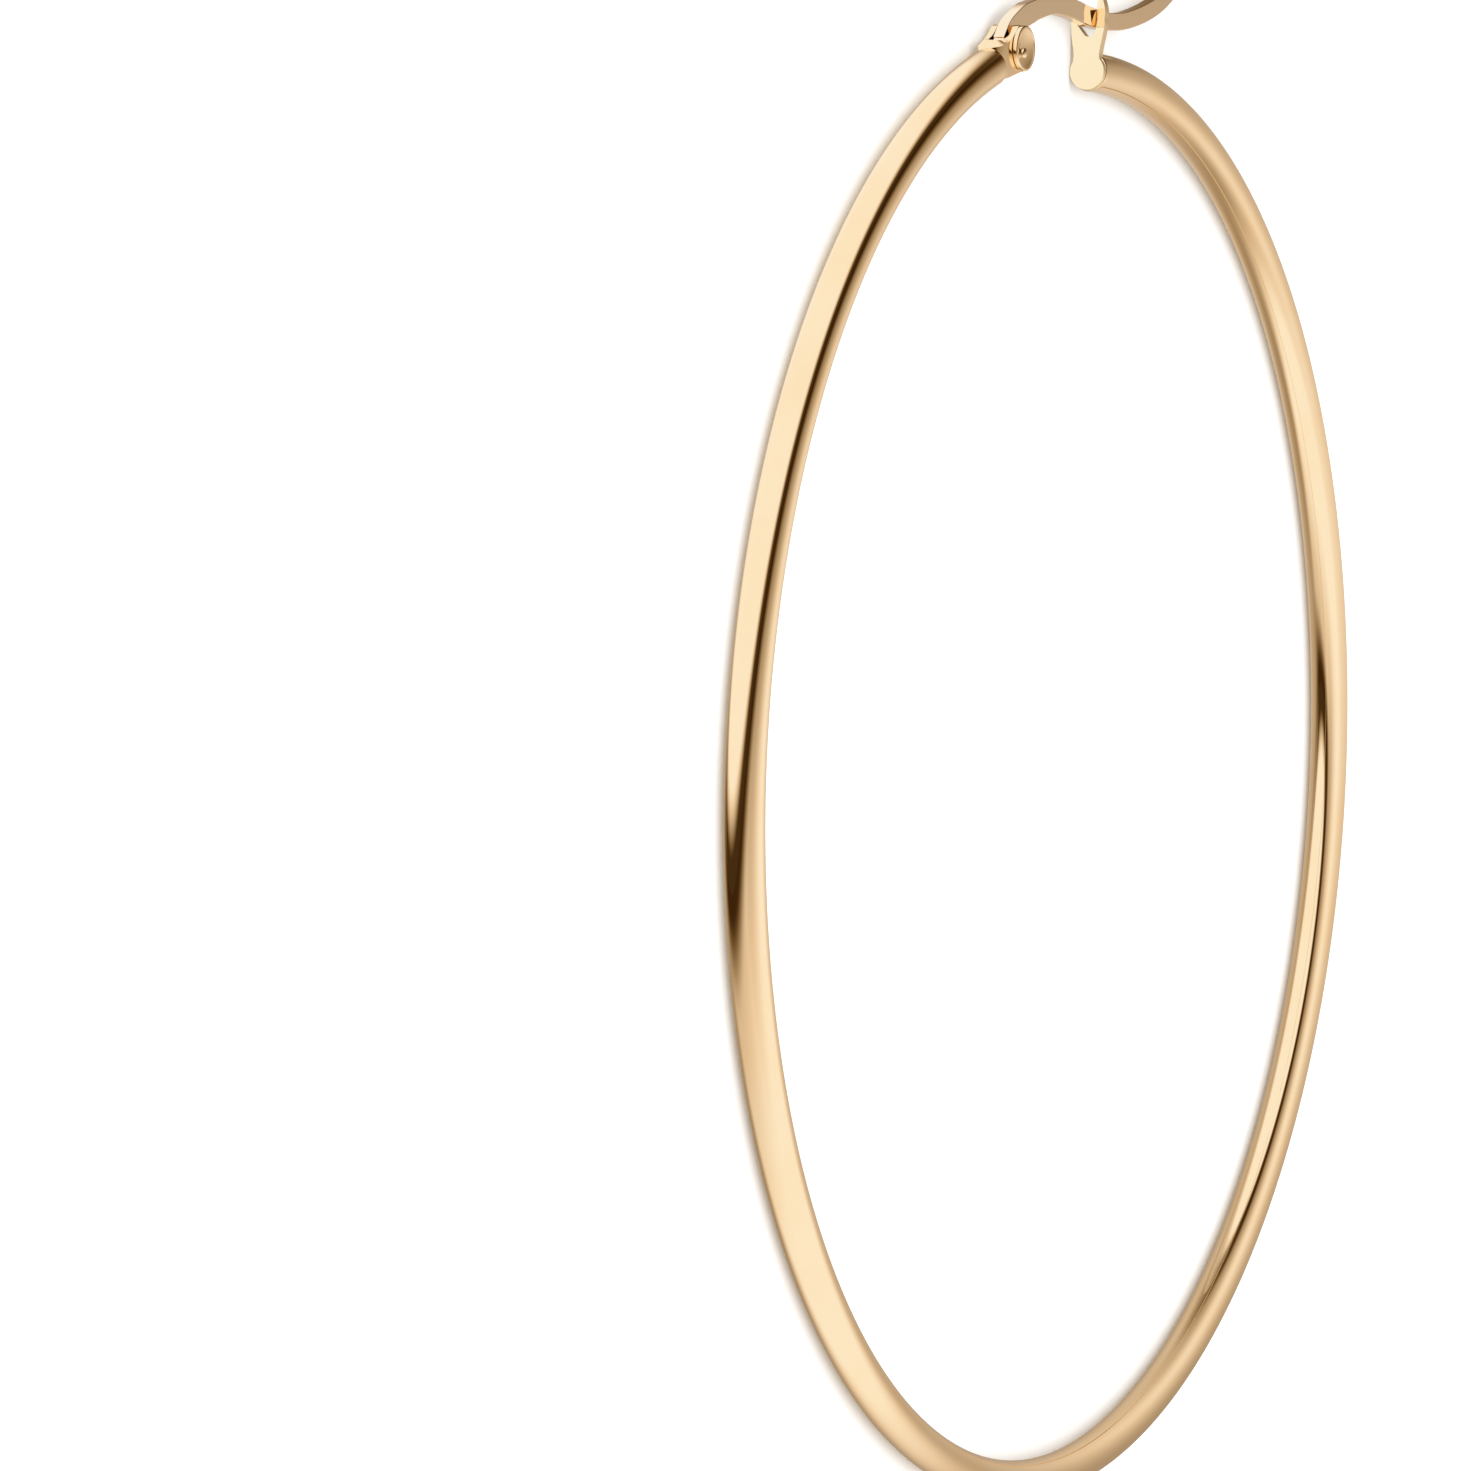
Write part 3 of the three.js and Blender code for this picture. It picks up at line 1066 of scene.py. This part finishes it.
@dataclass(frozen=True)
class LightTent:
    """The round white tent that the polished metal mirrors, with one curved dark opening in its front.

    Its places are shares of its radius to the right, up and back towards the camera.
    """

    middle: tuple[float, float, float] = (-15.0, -14.0, 12.0)
    radius: float = 83.0
    subdivisions: int = 5
    brightness: float = 1.0
    opening_height: float = 0.49
    opening_slope: float = 0.67
    opening_lean: float = -0.33
    opening_twist: float = -0.07
    opening_bend: float = 0.12
    top_edge: tuple[float, float] = (0.085, 0.27)
    lower_edge: tuple[float, float] = (0.05, 0.36)
    opening_dark: float = 0.97
    opening_end: tuple[float, float] = (-1.15, -0.1)
    skirt: float = 0.36
    skirt_left: float = 0.07
    skirt_right: float = 0.65
    skirt_width: float = 1.26
    rear_dark: float = 0.42
    rear_edge: tuple[float, float] = (0.54, 1.27)
    base_dark: float = 0.62
    base_edge: tuple[float, float] = (0.07, 0.71)
    base_height: float = -0.47
    base_width: float = 0.99
    # How cloth of each brightness looks: warm in shade, cool where it is brightest.
    cloth: tuple[tuple[float, tuple[float, float, float]], ...] = (
        (0.0, (0.025, 0.0075, 0.0004)),
        (0.1, (0.14, 0.083, 0.03)),
        (0.35, (0.4, 0.31, 0.22)),
        (0.75, (0.8, 0.69, 0.592)),
        (0.92, (0.93, 0.875, 0.83)),
        (1.0, (0.98, 0.98, 0.985)),
        (1.1, (1.04, 1.07, 1.12)),
    )

    def level(self, right: Shade, up: Shade, back: Shade) -> Shade:
        """How bright the tent's wall is at a place.

        Args:
            right: the place's share to the right.
            up: its share up.
            back: its share towards the camera.

        Returns:
            The brightness, with plain white cloth at 1.
        """
        line = self.opening_height + self.opening_slope * right + self.opening_lean * back
        off = up - (line + self.opening_twist * right * back + self.opening_bend * right * right)
        below = 0.0 - off
        core = 1 - off.step(*self.top_edge) - below.step(*self.lower_edge)
        depth = self.skirt + self.skirt_right * right.math("MAXIMUM", 0.0)
        depth = depth - self.skirt_left * right.math("MINIMUM", 0.0)
        skirt = depth * (1 - below.step(0.0, self.skirt_width)) * off.math("LESS_THAN", 0.0)
        front = 0.0 - back
        rear = self.rear_dark * front.step(*self.rear_edge) * (1 - up.math("ABSOLUTE"))
        base = 1 - (up - self.base_height).math("ABSOLUTE").step(0.0, self.base_width)
        shade = (1 - skirt) * (1 - rear) * (1 - self.base_dark * front.step(*self.base_edge) * base)
        return self.brightness * shade * (1 - self.opening_dark * core * back.step(*self.opening_end))

    def cloth_material(self, studio: "Studio", middle: Vector) -> bpy.types.Material:
        """Makes the tent's lit cloth.

        Args:
            studio: the studio, for the directions of its camera.
            middle: the tent's middle, in metres.

        Returns:
            The material.
        """
        material = bpy.data.materials.new("lit_cloth")
        material.use_nodes = True
        nodes = Nodes(material.node_tree)
        place = nodes.add("ShaderNodeTexCoord", {}).outputs["Object"]
        off = nodes.add("ShaderNodeVectorMath", {"operation": "SUBTRACT"}, i0=place, i1=tuple(middle))
        way = nodes.add("ShaderNodeVectorMath", {"operation": "NORMALIZE"}, i0=off.outputs[0])
        shares = []
        for axis in (studio.right, studio.up, studio.back):
            dot = nodes.add("ShaderNodeVectorMath", {"operation": "DOT_PRODUCT"}, i0=way.outputs[0], i1=axis)
            shares.append(nodes.shade(dot, "Value"))
        top = self.cloth[-1][0]
        stops = [(level / top, (*colour, 1)) for level, colour in self.cloth]
        tone = nodes.add("ShaderNodeValToRGB", {"stops": stops}, Fac=self.level(*shares) * (1 / top))
        light = nodes.add("ShaderNodeEmission", {}, Color=tone.outputs[0], Strength=1.0)
        nodes.add("ShaderNodeOutputMaterial", {}, Surface=light.outputs[0])
        return material

    def build(self, studio: "Studio") -> None:
        """Hangs the tent round the earring, where only the polished metal sees it.

        Args:
            studio: the studio, for the directions of its camera.
        """
        axes = Matrix((studio.right, studio.up, studio.back)).transposed()
        middle = seat_matrix(Seat.HOOP) @ (axes @ Vector(self.middle))
        bm = bmesh.new()
        place = Matrix.Translation(middle)
        bmesh.ops.create_icosphere(bm, subdivisions=self.subdivisions, radius=self.radius * MM, matrix=place)
        bmesh.ops.reverse_faces(bm, faces=bm.faces[:])
        mesh = bpy.data.meshes.new("light_tent")
        bm.to_mesh(mesh)
        bm.free()
        mesh.materials.append(self.cloth_material(studio, middle))
        tent = bpy.data.objects.new("light_tent", mesh)
        bpy.context.scene.collection.objects.link(tent)
        for ray in ("camera", "diffuse", "shadow", "transmission", "volume_scatter"):
            setattr(tent, f"visible_{ray}", False)


@dataclass(frozen=True)
class Studio:
    """The camera, the floor and the soft light round the earring."""

    camera_place: tuple[float, float, float] = (-0.4173, 0.0587, 0.1883)
    right: tuple[float, float, float] = (0.43996, -0.01831, 0.89783)
    up: tuple[float, float, float] = (0.12057, 0.99194, -0.03885)
    back: tuple[float, float, float] = (-0.88988, 0.12534, 0.43863)
    focal_pixels: float = 9000.0
    sensor: float = 36.0
    clip: tuple[float, float] = (0.01, 50.0)
    room_light: tuple[float, float, float] = (1.28, 1.28, 1.28)
    floor_size: float = 6.0
    floor_colour: tuple[float, float, float] = (0.93, 0.925, 0.92)
    lamp_place: tuple[float, float, float] = (-0.2, 0.2, 1.2)
    lamp_width: float = 1.6
    lamp_watts: float = 4.5

    def camera(self) -> None:
        """Sets the camera at the photograph's angle to the earring."""
        data = bpy.data.cameras.new("camera")
        data.sensor_fit = "HORIZONTAL"
        data.sensor_width = self.sensor
        data.lens = self.focal_pixels * self.sensor / PICTURE_WIDTH
        data.clip_start, data.clip_end = self.clip
        camera = bpy.data.objects.new("camera", data)
        bpy.context.scene.collection.objects.link(camera)
        axes = Matrix((self.right, self.up, self.back)).transposed()
        camera.matrix_world = Matrix.Translation(self.camera_place) @ axes.to_4x4()
        bpy.context.scene.camera = camera

    def floor(self) -> None:
        """Lays the plain pale floor, which the polished metal doesn't mirror."""
        bm = bmesh.new()
        bmesh.ops.create_grid(bm, x_segments=1, y_segments=1, size=self.floor_size / 2)
        mesh = bpy.data.meshes.new("floor")
        bm.to_mesh(mesh)
        bm.free()
        material = bpy.data.materials.new("pale_floor")
        material.use_nodes = True
        nodes = Nodes(material.node_tree)
        shader = nodes.add("ShaderNodeBsdfDiffuse", {}, Color=(*self.floor_colour, 1))
        nodes.add("ShaderNodeOutputMaterial", {}, Surface=shader.outputs[0])
        mesh.materials.append(material)
        floor = bpy.data.objects.new("floor", mesh)
        floor.visible_glossy = False
        bpy.context.scene.collection.objects.link(floor)

    def surround(self) -> None:
        """Fills the room beyond the tent with even white light."""
        world = bpy.data.worlds.new("room")
        world.use_nodes = True
        bpy.context.scene.world = world
        nodes = Nodes(world.node_tree)
        light = nodes.add("ShaderNodeBackground", {}, Color=(*self.room_light, 1), Strength=1.0)
        nodes.add("ShaderNodeOutputWorld", {}, Surface=light.outputs[0])

    def lamp(self) -> None:
        """Hangs a broad soft lamp over the floor."""
        data = bpy.data.lights.new("overhead", "AREA")
        data.shape = "DISK"
        data.size = self.lamp_width
        data.energy = self.lamp_watts
        lamp = bpy.data.objects.new("overhead", data)
        lamp.location = self.lamp_place
        lamp.rotation_euler = (-lamp.location).to_track_quat("-Z", "Y").to_euler()
        lamp.visible_glossy = False
        bpy.context.scene.collection.objects.link(lamp)

    def build(self) -> None:
        """Sets up camera, floor and light."""
        self.camera()
        self.floor()
        self.surround()
        self.lamp()
        LightTent().build(self)
        bpy.context.scene.view_settings.view_transform = "Standard"


def main() -> None:
    """Builds the studio and the earring, piece by piece."""
    logging.basicConfig(level=logging.INFO, format="%(name)s: %(message)s")
    Studio().build()
    for piece in (HoopTube(), HingeBox(), CatchPlate(), Rivet(), LatchBar()):
        built = piece.build()
        log.info("%s: %d faces, on the %s", built.name, len(built.data.polygons), piece.body)


if __name__ == "__main__":
    main()
